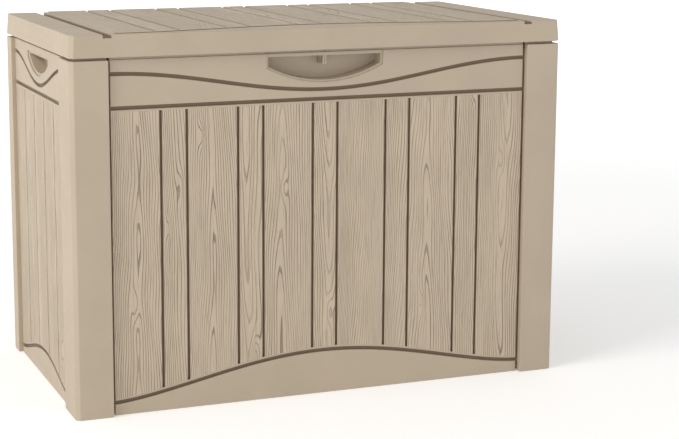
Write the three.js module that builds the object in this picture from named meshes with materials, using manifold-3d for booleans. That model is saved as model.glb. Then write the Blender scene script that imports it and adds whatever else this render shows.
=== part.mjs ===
// Small resin deck storage box: two end panels with corner posts, front and back panels that slide into
// them, a ribbed floor, and a hinged lid with a padlock tab. Millimetres, +X to the right, +Y to the rear,
// +Z up. The origin is on the ground, under the middle of the box.
import * as THREE from 'three';
import { mergeVertices } from 'three/addons/utils/BufferGeometryUtils.js';
import Module from 'manifold-3d';

// ---- Driving dimensions ----
const LENGTH = 600;
const DEPTH = 332;
const HEIGHT = 431.5;
const POST_TOP = 402.5;
const LID_BOTTOM = 405.5;
const LID_DRAFT = 1.7;
const LID_PLATE = 4;
const SKIRT = 3;
const GAP = 0.3;

const POST_FACE = 43.5; // width of a post seen from the front
const FRONT_POST_SIDE = 53; // width of a front post seen from the side
const REAR_POST_SIDE = 28;
const POST_WALL = 4;
const CORNER_CUT = 4.5; // flat on the outer upright corners of posts and lid
const WALL = 4.5; // thickness of every flat panel
const FACE_RECESS = 6; // front and back panels lie this far behind the posts
const END_RECESS = 5; // the end walls lie this far behind the posts
const PANEL_HALF = 253.5;
const LIP_OUT = 8.5; // how far the lip round the mouth is set back, front and rear
const LIP_SIDE = 6.5;
const LIP_WALL = 3;
const LIP_TOP = 417;

const GROOVE = 4.4;
const GROOVE_DEPTH = 2.2;
const PLANK_GROOVE = 2.6;
const PLANK_GROOVE_DEPTH = 2;
const BAND_HEIGHT = 349; // height of the straight groove above the planks
const WAVE_STEPS = 24;
const ARC_STEPS = 16;

const CORNER_X = LENGTH / 2;
const CORNER_Y = DEPTH / 2;
const FACE_Y = CORNER_Y - FACE_RECESS;
const END_MIDDLE = (FRONT_POST_SIDE - REAR_POST_SIDE) / 2; // middle of an end wall, along Y
const END_HALF = CORNER_Y - (FRONT_POST_SIDE + REAR_POST_SIDE) / 2;

const HINGE_X = 170;
const HINGE_Y = 161;
const HINGE_Z = 399.7;
const KNUCKLE_RADIUS = 5;
const PIN_RADIUS = 2;
const PIN_BORE = 2.1;
const SCREW_RADIUS = 1.7;
const SCREW_HOLE = 2;
const SCREW_HEAD = 3.6;
const ROUND_SIDES = 16;

const resin = { color: 0xc1ae92, roughness: 0.62, metalness: 0 };
const steel = { color: 0xb9bcc0, roughness: 0.35, metalness: 1 };

const wasm = await Module();
wasm.setup();

// ---- Solids and how they are joined and cut ----
function solid(geometry) {
  geometry.deleteAttribute('normal');
  geometry.deleteAttribute('uv');
  const merged = mergeVertices(geometry, 1e-5);
  const vertProperties = new Float32Array(merged.attributes.position.array);
  const triVerts = new Uint32Array(merged.index.array);
  return new wasm.Manifold(new wasm.Mesh({ numProp: 3, vertProperties, triVerts }));
}

function join(pieces) {
  return pieces.reduce((whole, piece) => whole.add(piece));
}

function cut(whole, tools) {
  return tools.reduce((left, tool) => left.subtract(tool), whole);
}

// A block between two opposite corners.
function block(x0, x1, y0, y1, z0, z1) {
  const geometry = new THREE.BoxGeometry(Math.abs(x1 - x0), Math.abs(y1 - y0), Math.abs(z1 - z0));
  geometry.translate((x0 + x1) / 2, (y0 + y1) / 2, (z0 + z1) / 2);
  return solid(geometry);
}

// An outline swept along an axis: (y, z) outlines along x, (x, z) outlines along y, (x, y) along z.
function prism(axis, outline, from, to) {
  const shape = new THREE.Shape(outline.map(([a, b]) => new THREE.Vector2(a, b)));
  const geometry = new THREE.ExtrudeGeometry(shape, { depth: Math.abs(to - from), bevelEnabled: false });
  if (axis === 'x') {
    geometry.rotateX(Math.PI / 2);
    geometry.rotateZ(Math.PI / 2);
    geometry.translate(Math.min(from, to), 0, 0);
  } else if (axis === 'y') {
    geometry.rotateX(Math.PI / 2);
    geometry.translate(0, Math.max(from, to), 0);
  } else {
    geometry.translate(0, 0, Math.min(from, to));
  }
  return solid(geometry);
}

// A round bar along an axis; the centre gives its place on the other two axes, in x, y, z order.
function rod(axis, centre, radius, from, to) {
  const geometry = new THREE.CylinderGeometry(radius, radius, Math.abs(to - from), ROUND_SIDES);
  const middle = (from + to) / 2;
  if (axis === 'x') {
    geometry.rotateZ(Math.PI / 2);
    geometry.translate(middle, centre[0], centre[1]);
  } else if (axis === 'y') {
    geometry.translate(centre[0], middle, centre[1]);
  } else {
    geometry.rotateX(Math.PI / 2);
    geometry.translate(centre[0], centre[1], middle);
  }
  return solid(geometry);
}

// A block with its upright corners cut off, whose four sides lean in by inset towards its top.
function taperedBlock(halfX, halfY, corner, inset, z0, z1) {
  const points = [];
  for (const [z, lean] of [[z0, 0], [z1, inset]]) {
    for (const [sideX, sideY] of [[-1, -1], [-1, 1], [1, -1], [1, 1]]) {
      const x = halfX - lean;
      const y = halfY - lean;
      points.push([sideX * (x - corner), sideY * y, z], [sideX * x, sideY * (y - corner), z]);
    }
  }
  return wasm.Manifold.hull(points);
}

// ---- Outlines ----
// A strip of one width that follows a curve from one place to another.
function ribbon(curve, from, to, width) {
  const upper = [];
  const lower = [];
  for (let i = 0; i <= WAVE_STEPS; i += 1) {
    const along = from + ((to - from) * i) / WAVE_STEPS;
    upper.push([along, curve(along) + width / 2]);
    lower.unshift([along, curve(along) - width / 2]);
  }
  return upper.concat(lower);
}

// A half moon: a straight top, short straight sides down to the shoulder, and an arc below.
function halfMoon(middle, halfWidth, top, shoulder, bottom) {
  const sag = shoulder - bottom;
  const radius = (halfWidth ** 2 + sag ** 2) / (2 * sag);
  const reach = Math.asin(halfWidth / radius);
  const points = [[middle - halfWidth, top], [middle + halfWidth, top]];
  for (let i = 0; i <= ARC_STEPS; i += 1) {
    const angle = reach - (2 * reach * i) / ARC_STEPS;
    points.push([middle + radius * Math.sin(angle), bottom + radius * (1 - Math.cos(angle))]);
  }
  return points;
}

// Half a cosine wave: 1 in the middle of the panel and 0 at distance half from it.
function swell(distance, half) {
  return (1 + Math.cos((Math.PI * Math.min(Math.abs(distance), half)) / half)) / 2;
}

const frontUpperWave = (x) => 387 - 27 * swell(x, PANEL_HALF);
const frontLowerWave = (x) => 15 + 37 * swell(x, PANEL_HALF) ** 0.75;
const endUpperWave = (y) => 387 - 29.5 * swell(y - END_MIDDLE, END_HALF);
const endLowerWave = (y) => 10 + 24.5 * swell(y - END_MIDDLE, END_HALF) ** 0.75;

// Groove places: narrow and wide planks in turn, counted out from the middle one.
const NARROW = 30.25;
const WIDE = 60.4;
const halfGrooves = [
  NARROW / 2,
  NARROW / 2 + WIDE,
  NARROW * 1.5 + WIDE,
  NARROW * 1.5 + WIDE * 2,
  NARROW * 2.5 + WIDE * 2,
];
const plankGrooves = halfGrooves.flatMap((x) => [-x, x]);

// ---- End panels, each with its two corner posts ----
// Half of the plan of an end panel, at one post. u runs in from the outer side face, and e runs in from the
// outer front or rear face. The slot between e = 9 and e = 12.6 takes the tongue of the next panel.
const BOSS = 9;
const SLOT = 3.6;
const SLOT_REAR = BOSS + SLOT;
const SLOT_WALL = 3;
const POST_INNER = 28;
const TONGUE_ROOT = 246; // the tongues start here, behind the edges of the front and back panels

function postPlan(sideWidth) {
  return [
    [END_RECESS, sideWidth],
    [0, sideWidth],
    [0, CORNER_CUT],
    [CORNER_CUT, 0],
    [POST_FACE, 0],
    [POST_FACE, BOSS],
    [POST_INNER + SLOT_WALL, BOSS],
    [POST_INNER + SLOT_WALL, SLOT_REAR],
    [POST_FACE - 3.5, SLOT_REAR],
    [POST_FACE - 3.5, SLOT_REAR + SLOT_WALL],
    [POST_INNER, SLOT_REAR + SLOT_WALL],
    [POST_INNER, POST_WALL],
    [POST_WALL, POST_WALL],
    [POST_WALL, sideWidth - POST_WALL],
    [END_RECESS + WALL, sideWidth - POST_WALL],
  ];
}

function capPlan(sideWidth) {
  return [
    [0, 0],
    [POST_FACE, 0],
    [POST_FACE, SLOT_REAR + SLOT_WALL],
    [END_RECESS + WALL, SLOT_REAR + SLOT_WALL],
    [END_RECESS + WALL, sideWidth],
    [0, sideWidth],
  ];
}

const HANDLE_FLOOR = END_RECESS + 18;

function endPanel(side) {
  const xAt = (u) => side * (CORNER_X - u);
  const front = ([u, e]) => [xAt(u), -CORNER_Y + e];
  const rear = ([u, e]) => [xAt(u), CORNER_Y - e];
  const plan = postPlan(FRONT_POST_SIDE).map(front).concat(postPlan(REAR_POST_SIDE).map(rear).reverse());
  const lipFace = CORNER_Y - LIP_OUT;
  const lipPlan = [
    [xAt(POST_FACE), -lipFace],
    [xAt(LIP_SIDE), -lipFace],
    [xAt(LIP_SIDE), lipFace],
    [xAt(POST_FACE), lipFace],
    [xAt(POST_FACE), lipFace - LIP_WALL],
    [xAt(LIP_SIDE + LIP_WALL), lipFace - LIP_WALL],
    [xAt(LIP_SIDE + LIP_WALL), -lipFace + LIP_WALL],
    [xAt(POST_FACE), -lipFace + LIP_WALL],
  ];
  const pocketShell = halfMoon(END_MIDDLE, 53, 394, 388, 368);
  const whole = join([
    prism('z', plan, 0, POST_TOP),
    prism('z', capPlan(FRONT_POST_SIDE).map(front), POST_TOP - POST_WALL, POST_TOP),
    prism('z', capPlan(REAR_POST_SIDE).map(rear), POST_TOP - POST_WALL, POST_TOP),
    prism('z', lipPlan, POST_TOP - POST_WALL, LIP_TOP),
    prism('x', pocketShell, xAt(END_RECESS + 2), xAt(HANDLE_FLOOR + 3)),
    block(xAt(END_RECESS + 1), xAt(END_RECESS + WALL + 6), -90, 120, 8.5, 11.7),
  ]);
  const low = END_MIDDLE - END_HALF;
  const high = END_MIDDLE + END_HALF;
  const outside = xAt(END_RECESS - 1);
  const grooveFloor = xAt(END_RECESS + GROOVE_DEPTH);
  const tools = [
    prism('x', halfMoon(END_MIDDLE, 54, 394, 388, 367.5), outside, xAt(END_RECESS + 2)),
    prism('x', halfMoon(END_MIDDLE, 50, 391, 386, 371), outside, xAt(HANDLE_FLOOR)),
    prism('x', ribbon(endUpperWave, low, high, GROOVE), outside, grooveFloor),
    prism('x', ribbon(endLowerWave, low, high, GROOVE), outside, grooveFloor),
    block(outside, grooveFloor, low, high, BAND_HEIGHT - 1 - GROOVE / 2, BAND_HEIGHT - 1 + GROOVE / 2),
    rearTopChamfer(),
  ];
  const plank = (2 * END_HALF) / 5;
  for (let i = 1; i < 5; i += 1) {
    const y = low + plank * i;
    const half = PLANK_GROOVE / 2;
    const floor = xAt(END_RECESS + PLANK_GROOVE_DEPTH);
    tools.push(block(outside, floor, y - half, y + half, endLowerWave(y), BAND_HEIGHT - 1));
  }
  return cut(whole, tools);
}

// The top rear edge of each rear post is cut back, to let the skirt of the lid swing past it.
function rearTopChamfer() {
  const size = 4;
  const triangle = [
    [CORNER_Y - size, POST_TOP],
    [CORNER_Y + 1, POST_TOP + 1],
    [CORNER_Y + 1, POST_TOP - size - 1],
  ];
  return prism('x', triangle, -CORNER_X - 1, CORNER_X + 1);
}

// ---- Front and back panels ----
// facing is -1 for the front panel and +1 for the back panel; d is the depth behind the outer faces.
function longPanel(facing) {
  const yAt = (d) => facing * (CORNER_Y - d);
  const tongueReach = CORNER_X - POST_INNER - SLOT_WALL - 0.7;
  const tongueTop = POST_TOP - POST_WALL - GAP;
  return join([
    block(-PANEL_HALF, PANEL_HALF, yAt(FACE_RECESS), yAt(FACE_RECESS + WALL), 0, POST_TOP),
    block(-PANEL_HALF, PANEL_HALF, yAt(LIP_OUT), yAt(LIP_OUT + LIP_WALL), POST_TOP - POST_WALL, LIP_TOP),
    ...[-1, 1].map((side) => block(
      side * TONGUE_ROOT, side * tongueReach, yAt(BOSS + GAP), yAt(SLOT_REAR - GAP), 2, tongueTop,
    )),
    block(-200, 200, yAt(FACE_RECESS + 1), yAt(FACE_RECESS + WALL + 6), 8.5, 11.7),
  ]);
}

function longPanelGrooves(facing, waveTop) {
  const outside = facing * (CORNER_Y - FACE_RECESS + 1);
  const grooveFloor = facing * (CORNER_Y - FACE_RECESS - GROOVE_DEPTH);
  const plankFloor = facing * (CORNER_Y - FACE_RECESS - PLANK_GROOVE_DEPTH);
  const reach = PANEL_HALF + 1;
  const tools = plankGrooves.map((x) => {
    const half = PLANK_GROOVE / 2;
    return block(x - half, x + half, outside, plankFloor, frontLowerWave(x), BAND_HEIGHT);
  });
  tools.push(block(-reach, reach, outside, grooveFloor, BAND_HEIGHT - GROOVE / 2, BAND_HEIGHT + GROOVE / 2));
  tools.push(prism('y', ribbon(frontLowerWave, -reach, reach, GROOVE), outside, grooveFloor));
  if (waveTop) {
    tools.push(prism('y', ribbon(frontUpperWave, -reach, reach, GROOVE), outside, grooveFloor));
  }
  return tools;
}

const POCKET_FLOOR = -140; // rear wall of the finger pocket, inner face
const TAB_BOTTOM = 388;
const TAB_THICK = 2.1;
const TAB_TOP = 401.9;
const TAB_FRONT = -157;
const BOX_TAB_FLANGE = -131;
const BOX_TAB_SCREWS = [-6, 8];
const BOX_TAB_SCREW_Z = 395;
const TAB_HOLE = { y: -151.2, z: 394.8, radius: 3.5 };

// The room for the finger cup, which stands in a notch in the top edge of the front panel.
function cupSpace(grow) {
  return prism('y', halfMoon(0, 72 + grow, LIP_TOP + 3, 386, 367.5 - grow), -161, -120);
}

function frontPanel() {
  return cut(frontWithCup(), [cupSpace(GAP)]);
}

// The cup snaps into the notch from inside the box, until its flange meets the back of the front panel.
function fingerCup() {
  const flangeFront = -FACE_Y + WALL + GAP;
  const flange = prism('y', halfMoon(0, 78, POST_TOP - POST_WALL - 1, 386, 361.5), flangeFront, flangeFront + 2);
  const hollow = prism('y', halfMoon(0, 69, LIP_TOP, 386, 371), -161, POCKET_FLOOR);
  return join([frontWithCup().intersect(cupSpace(0)), cut(flange, [hollow])]);
}

function frontWithCup() {
  const whole = join([
    longPanel(-1),
    prism('y', halfMoon(0, 72, LID_BOTTOM, 386, 368), -158, POCKET_FLOOR + 3),
  ]);
  const hollow = cut(whole, [
    prism('y', halfMoon(0, 72, POST_TOP, 386, 367.5), -161, -158),
    prism('y', halfMoon(0, 69, POST_TOP, 386, 371), -161, POCKET_FLOOR),
    ...longPanelGrooves(-1, true),
  ]);
  const bosses = BOX_TAB_SCREWS.map((x) => rod('y', [x, BOX_TAB_SCREW_Z], 4, POCKET_FLOOR + 2, BOX_TAB_FLANGE - GAP));
  const bores = BOX_TAB_SCREWS.map((x) => (
    rod('y', [x, BOX_TAB_SCREW_Z], SCREW_HOLE, POCKET_FLOOR + 4, BOX_TAB_FLANGE)
  ));
  const tabWay = block(0, TAB_THICK + GAP, POCKET_FLOOR - 0.5, POCKET_FLOOR + 3.5, TAB_BOTTOM - GAP, TAB_TOP + GAP);
  const tabSlot = block(-TAB_THICK - 0.8, 0, TAB_FRONT - 1.3, POCKET_FLOOR + 0.3, POST_TOP - 0.2, LIP_TOP);
  return cut(join([hollow, ...bosses]), [tabSlot, tabWay, ...bores]);
}

// The fixed tab comes through the rear wall of the finger pocket, and its flange is screwed on from inside the box.
function boxLockTab() {
  const low = GAP / 2;
  const fin = block(low, low + TAB_THICK, TAB_FRONT, BOX_TAB_FLANGE + 1, TAB_BOTTOM, TAB_TOP);
  const flange = block(-11, 13, BOX_TAB_FLANGE, BOX_TAB_FLANGE + 2.5, TAB_BOTTOM, TAB_TOP);
  const holes = BOX_TAB_SCREWS.map((x) => (
    rod('y', [x, BOX_TAB_SCREW_Z], SCREW_HOLE, BOX_TAB_FLANGE - 1, BOX_TAB_FLANGE + 4)
  ));
  return cut(join([fin, flange]), [rod('x', [TAB_HOLE.y, TAB_HOLE.z], TAB_HOLE.radius, -5, 5), ...holes]);
}

function boxTabScrew() {
  const headBack = BOX_TAB_FLANGE + 2.5 + GAP;
  return join([
    rod('y', [0, 0], SCREW_RADIUS, POCKET_FLOOR + 4.3, headBack + 1),
    rod('y', [0, 0], SCREW_HEAD, headBack, headBack + 1.8),
  ]);
}

// The wall steps in behind each hinge, as a shallow pocket that is open at the top.
const HINGE_POCKET = { half: 32, wall: 3, floor: 151, bottom: 380 };
const BRACKET_SCREW = { x: 20, z: 388 };

function backPanel() {
  const lipFace = CORNER_Y - LIP_OUT;
  const pieces = [longPanel(1)];
  const tools = longPanelGrooves(1, false);
  for (const side of [-1, 1]) {
    const x = side * HINGE_X;
    const outer = HINGE_POCKET.half + HINGE_POCKET.wall;
    const bottom = HINGE_POCKET.bottom - HINGE_POCKET.wall;
    const inner = HINGE_POCKET.floor - POST_WALL;
    pieces.push(block(x - outer, x + outer, inner, FACE_Y - 0.5, bottom, POST_TOP));
    pieces.push(block(x - outer, x + outer, inner, lipFace, POST_TOP - 1, LIP_TOP));
    const half = HINGE_POCKET.half;
    tools.push(block(x - half, x + half, HINGE_POCKET.floor, FACE_Y + 1, HINGE_POCKET.bottom, LIP_TOP + 1));
    for (const offset of [-BRACKET_SCREW.x, BRACKET_SCREW.x]) {
      pieces.push(rod('y', [x + offset, BRACKET_SCREW.z], 5, inner - 6, inner + 1));
      tools.push(rod('y', [x + offset, BRACKET_SCREW.z], SCREW_HOLE, inner - 4.5, HINGE_POCKET.floor + 1));
    }
  }
  return cut(join(pieces), tools);
}

// ---- Floor ----
const FLOOR_BOTTOM = 12;
const FLOOR_PLATE = 4;

// A quarter of the floor's outline, stepped to follow the panels and posts with a small gap.
function floorQuarter(signX, signY, sideWidth) {
  const wallX = CORNER_X - END_RECESS - WALL - GAP;
  const postX = CORNER_X - POST_WALL - GAP;
  const slotX = CORNER_X - POST_INNER + GAP;
  const openX = TONGUE_ROOT - GAP;
  const postY = CORNER_Y - POST_WALL - GAP;
  const slotY = CORNER_Y - SLOT_REAR - SLOT_WALL - GAP;
  const faceY = CORNER_Y - FACE_RECESS - WALL - GAP;
  const stepY = CORNER_Y - sideWidth + POST_WALL + GAP;
  const points = [
    [wallX, stepY],
    [postX, stepY],
    [postX, postY],
    [slotX, postY],
    [slotX, slotY],
    [openX, slotY],
    [openX, faceY],
  ];
  return points.map(([x, y]) => [signX * x, signY * y]);
}

function floorPanel() {
  const outline = [
    ...floorQuarter(1, -1, FRONT_POST_SIDE).reverse(),
    ...floorQuarter(1, 1, REAR_POST_SIDE),
    ...floorQuarter(-1, 1, REAR_POST_SIDE).reverse(),
    ...floorQuarter(-1, -1, FRONT_POST_SIDE),
  ];
  const pieces = [prism('z', outline, FLOOR_BOTTOM, FLOOR_BOTTOM + FLOOR_PLATE)];
  for (const y of [-100, 0, 100]) {
    pieces.push(block(-280, 280, y - 1.5, y + 1.5, 0, FLOOR_BOTTOM + 1));
  }
  for (const x of [-240, -120, 0, 120, 240]) {
    pieces.push(block(x - 1.5, x + 1.5, -140, 140, 0, FLOOR_BOTTOM + 1));
  }
  return join(pieces);
}

// ---- Lid ----
const CHANNEL_X = 257;
const CHANNEL_HALF = 5;
const CHANNEL_DEPTH = 5;
const FIELD_DROP = 1;
const FIELD_HALF = 246;
const RIB_BOTTOM = LIP_TOP + 0.4;
const FLANGE_BOTTOM = 420.2;
const FLANGE = 2.5;
const ARM_SCREWS = [128, 146];
const TAB_SCREWS = [-9, 9];
const TAB_SCREW_Y = -146.5;
const fieldFront = (x) => -CORNER_Y + 8 + 35 * swell(x, FIELD_HALF);

const lidScrews = [];
for (const side of [-1, 1]) {
  ARM_SCREWS.forEach((y) => lidScrews.push([side * HINGE_X, y]));
}
TAB_SCREWS.forEach((x) => lidScrews.push([x, TAB_SCREW_Y]));

function lidShell() {
  const inside = HEIGHT - LID_PLATE;
  const draftInside = (LID_DRAFT * LID_PLATE) / (HEIGHT - LID_BOTTOM);
  const cavity = taperedBlock(
    CORNER_X - SKIRT, CORNER_Y - SKIRT, SKIRT, LID_DRAFT - draftInside, LID_BOTTOM, inside,
  );
  const below = block(-CORNER_X + SKIRT, CORNER_X - SKIRT, -CORNER_Y + SKIRT, CORNER_Y - SKIRT, 400, LID_BOTTOM);
  const outer = taperedBlock(CORNER_X, CORNER_Y, CORNER_CUT, LID_DRAFT, LID_BOTTOM, HEIGHT);
  const ribs = [];
  for (const y of [-133, 0, 110]) {
    ribs.push(block(-CORNER_X + 6, CORNER_X - 6, y - 1.25, y + 1.25, RIB_BOTTOM, inside + 1));
  }
  for (const x of [-225, -110, 110, 225]) {
    ribs.push(block(x - 1.25, x + 1.25, -163, 163, RIB_BOTTOM, inside + 1));
  }
  for (const x of [-CHANNEL_X, CHANNEL_X]) {
    ribs.push(block(x - CHANNEL_HALF - 3, x + CHANNEL_HALF + 3, -163, 163, HEIGHT - CHANNEL_DEPTH - 3, inside + 1));
  }
  const bosses = lidScrews.map((centre) => rod('z', centre, 4, FLANGE_BOTTOM + FLANGE + GAP, inside + 1));
  const body = join([cut(outer, [cavity.add(below)]), ...ribs, ...bosses]);
  return cut(body, [...lidTopCuts(), ...lidScrews.map((centre) => rod('z', centre, SCREW_HOLE, 420, 428.8))]);
}

function lidTopCuts() {
  const tools = [-CHANNEL_X, CHANNEL_X].map((x) => block(
    x - CHANNEL_HALF, x + CHANNEL_HALF, -CORNER_Y - 1, CORNER_Y + 1, HEIGHT - CHANNEL_DEPTH, HEIGHT + 1,
  ));
  const field = [];
  for (let i = 0; i <= WAVE_STEPS; i += 1) {
    const x = -FIELD_HALF + (2 * FIELD_HALF * i) / WAVE_STEPS;
    field.push([x, fieldFront(x)]);
  }
  field.push([FIELD_HALF, CORNER_Y + 1], [-FIELD_HALF, CORNER_Y + 1]);
  tools.push(prism('z', field, HEIGHT - FIELD_DROP, HEIGHT + 1));
  const half = PLANK_GROOVE / 2;
  for (const x of plankGrooves) {
    tools.push(block(x - half, x + half, fieldFront(x), CORNER_Y + 1, HEIGHT - FIELD_DROP - 1.2, HEIGHT + 1));
  }
  return tools;
}

// A thin plate that hangs from the lid into the finger pocket, beside the matching tab of the front panel.
function lidLockTab() {
  const fin = block(-TAB_THICK - 0.2, -0.2, TAB_FRONT, POCKET_FLOOR - 0.5, TAB_BOTTOM, FLANGE_BOTTOM + 1);
  const flange = block(-14, 14, TAB_FRONT, POCKET_FLOOR - 0.5, FLANGE_BOTTOM, FLANGE_BOTTOM + FLANGE);
  const holes = TAB_SCREWS.map((x) => rod('z', [x, TAB_SCREW_Y], SCREW_HOLE, FLANGE_BOTTOM - 1, 424));
  return cut(join([fin, flange]), [rod('x', [TAB_HOLE.y, TAB_HOLE.z], TAB_HOLE.radius, -5, 5), ...holes]);
}

// ---- Hinges, each placed at its own x ----
const ARM_HALF = 9.7;
const KNUCKLE_INNER = 10.3;
const KNUCKLE_OUTER = 25;

function hingeBracket() {
  const plateBack = HINGE_POCKET.floor + GAP;
  const pieces = [block(-28, 28, plateBack, plateBack + 2.5, 383, HINGE_Z + 4)];
  for (const side of [-1, 1]) {
    const inner = side * KNUCKLE_INNER;
    const outer = side * KNUCKLE_OUTER;
    pieces.push(rod('x', [HINGE_Y, HINGE_Z], KNUCKLE_RADIUS, inner, outer));
    pieces.push(block(inner, outer, plateBack + 1, HINGE_Y - 1, HINGE_Z - 4, HINGE_Z + 3));
  }
  const tools = [rod('x', [HINGE_Y, HINGE_Z], PIN_BORE, -40, 40)];
  for (const x of [-BRACKET_SCREW.x, BRACKET_SCREW.x]) {
    tools.push(rod('y', [x, BRACKET_SCREW.z], SCREW_HOLE, plateBack - 1, plateBack + 4));
  }
  return cut(join(pieces), tools);
}

function hingeArm() {
  const armBack = 160.5;
  const armFront = 157.5;
  const pieces = [
    rod('x', [HINGE_Y, HINGE_Z], KNUCKLE_RADIUS, -ARM_HALF, ARM_HALF),
    block(-ARM_HALF, ARM_HALF, armFront, armBack, HINGE_Z, FLANGE_BOTTOM + FLANGE),
    block(-ARM_HALF, ARM_HALF, 120, armBack, FLANGE_BOTTOM, FLANGE_BOTTOM + FLANGE),
  ];
  const tools = [rod('x', [HINGE_Y, HINGE_Z], PIN_BORE, -40, 40)];
  ARM_SCREWS.forEach((y) => tools.push(rod('z', [0, y], SCREW_HOLE, FLANGE_BOTTOM - 1, 424)));
  return cut(join(pieces), tools);
}

// The head of each pin is on the side away from the middle of the box.
function hingePin(side) {
  const tip = -side * (KNUCKLE_OUTER + 1);
  const head = side * (KNUCKLE_OUTER + GAP);
  return join([
    rod('x', [HINGE_Y, HINGE_Z], PIN_RADIUS, tip, head + side),
    rod('x', [HINGE_Y, HINGE_Z], 3.2, head, head + side * 1.5),
  ]);
}

function bracketScrew() {
  const headBack = HINGE_POCKET.floor + GAP + 2.5 + GAP;
  return join([
    rod('y', [0, 0], SCREW_RADIUS, HINGE_POCKET.floor - 8, headBack + 1),
    rod('y', [0, 0], SCREW_HEAD, headBack, headBack + 2),
  ]);
}

function lidScrew() {
  const headTop = FLANGE_BOTTOM - GAP;
  return join([
    rod('z', [0, 0], SCREW_RADIUS, headTop - 1, 428.4),
    rod('z', [0, 0], SCREW_HEAD, headTop - 1.9, headTop),
  ]);
}

// ---- Scene graph ----
function toMesh(name, manifold, finish) {
  const result = manifold.getMesh();
  const geometry = new THREE.BufferGeometry();
  geometry.setAttribute('position', new THREE.BufferAttribute(new Float32Array(result.vertProperties), 3));
  geometry.setIndex(new THREE.BufferAttribute(new Uint32Array(result.triVerts), 1));
  geometry.computeVertexNormals();
  const mesh = new THREE.Mesh(geometry, new THREE.MeshStandardMaterial(finish));
  mesh.name = name;
  return mesh;
}

const box = new THREE.Group();
box.name = 'deck_storage_box';
box.add(toMesh('floor_panel', floorPanel(), resin));
box.add(toMesh('left_end_panel', endPanel(-1), resin));
box.add(toMesh('right_end_panel', endPanel(1), resin));
box.add(toMesh('front_panel', frontPanel(), resin));
box.add(toMesh('finger_cup', fingerCup(), resin));
box.add(toMesh('back_panel', backPanel(), resin));
box.add(toMesh('lid_shell', lidShell(), resin));
box.add(toMesh('lid_lock_tab', lidLockTab(), resin));

box.add(toMesh('box_lock_tab', boxLockTab(), resin));
BOX_TAB_SCREWS.forEach((x, index) => {
  const screw = toMesh(`box_tab_screw_${index + 1}`, boxTabScrew(), steel);
  screw.position.set(x, 0, BOX_TAB_SCREW_Z);
  box.add(screw);
});

TAB_SCREWS.forEach((x, index) => {
  const screw = toMesh(`lock_tab_screw_${index + 1}`, lidScrew(), steel);
  screw.position.set(x, TAB_SCREW_Y, 0);
  box.add(screw);
});

for (const [word, side] of [['left', -1], ['right', 1]]) {
  const hinge = new THREE.Group();
  hinge.name = `${word}_hinge`;
  hinge.position.x = side * HINGE_X;
  hinge.add(toMesh(`${word}_hinge_bracket`, hingeBracket(), resin));
  hinge.add(toMesh(`${word}_hinge_arm`, hingeArm(), resin));
  hinge.add(toMesh(`${word}_hinge_pin`, hingePin(side), steel));
  [-BRACKET_SCREW.x, BRACKET_SCREW.x].forEach((x, index) => {
    const screw = toMesh(`${word}_bracket_screw_${index + 1}`, bracketScrew(), steel);
    screw.position.set(x, 0, BRACKET_SCREW.z);
    hinge.add(screw);
  });
  ARM_SCREWS.forEach((y, index) => {
    const screw = toMesh(`${word}_arm_screw_${index + 1}`, lidScrew(), steel);
    screw.position.set(0, y, 0);
    hinge.add(screw);
  });
  box.add(hinge);
}

export default box;
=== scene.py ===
"""Looks of a small resin deck storage box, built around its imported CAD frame.

Lengths below are in millimetres in the CAD frame (+X right, +Y rear, +Z up) and become metres when a mesh is
made. Each moulded panel is a relief sheet: a grid whose rows and columns follow its grooves.
"""

import math
import random

import bmesh
import bpy
import numpy as np
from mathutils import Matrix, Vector


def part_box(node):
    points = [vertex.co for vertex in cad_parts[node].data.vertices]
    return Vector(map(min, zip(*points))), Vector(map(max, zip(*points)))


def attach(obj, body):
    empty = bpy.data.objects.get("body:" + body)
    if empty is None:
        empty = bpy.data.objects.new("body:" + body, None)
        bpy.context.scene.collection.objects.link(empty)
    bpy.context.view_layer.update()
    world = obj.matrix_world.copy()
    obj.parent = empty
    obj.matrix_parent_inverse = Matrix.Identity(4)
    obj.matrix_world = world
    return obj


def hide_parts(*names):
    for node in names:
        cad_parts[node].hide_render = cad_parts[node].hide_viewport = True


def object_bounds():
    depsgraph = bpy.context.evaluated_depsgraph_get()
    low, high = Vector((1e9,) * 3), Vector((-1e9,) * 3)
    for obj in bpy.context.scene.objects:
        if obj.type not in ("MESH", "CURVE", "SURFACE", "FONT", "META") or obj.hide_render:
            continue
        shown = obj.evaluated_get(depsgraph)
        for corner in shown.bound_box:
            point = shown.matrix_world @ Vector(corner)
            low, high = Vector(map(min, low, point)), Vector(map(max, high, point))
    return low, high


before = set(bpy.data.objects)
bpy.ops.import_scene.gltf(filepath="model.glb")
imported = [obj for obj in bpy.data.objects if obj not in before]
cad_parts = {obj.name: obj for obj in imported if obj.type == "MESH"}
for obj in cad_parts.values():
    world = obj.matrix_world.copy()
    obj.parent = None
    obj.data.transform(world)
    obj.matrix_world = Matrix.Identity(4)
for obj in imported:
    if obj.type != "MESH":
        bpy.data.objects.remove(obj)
cad_low, cad_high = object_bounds()

MM = 0.001


def cad_box(node):
    """Lowest and highest corner of a CAD node, in millimetres."""
    low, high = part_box(node)
    return np.array(low) / MM, np.array(high) / MM


# ---- Sizes taken from the frame ----
HALF_LENGTH = cad_high.x / MM
HALF_DEPTH = -cad_low.y / MM
LID_LOW, LID_HIGH = cad_box("lid_shell")
LID_TOP = LID_HIGH[2]
LID_BOTTOM = LID_LOW[2]
LIP_TOP = cad_box("front_panel")[1][2]
POST_TOP = LID_BOTTOM - 3
POST_FACE = HALF_LENGTH + cad_box("left_end_panel")[1][0]

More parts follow.
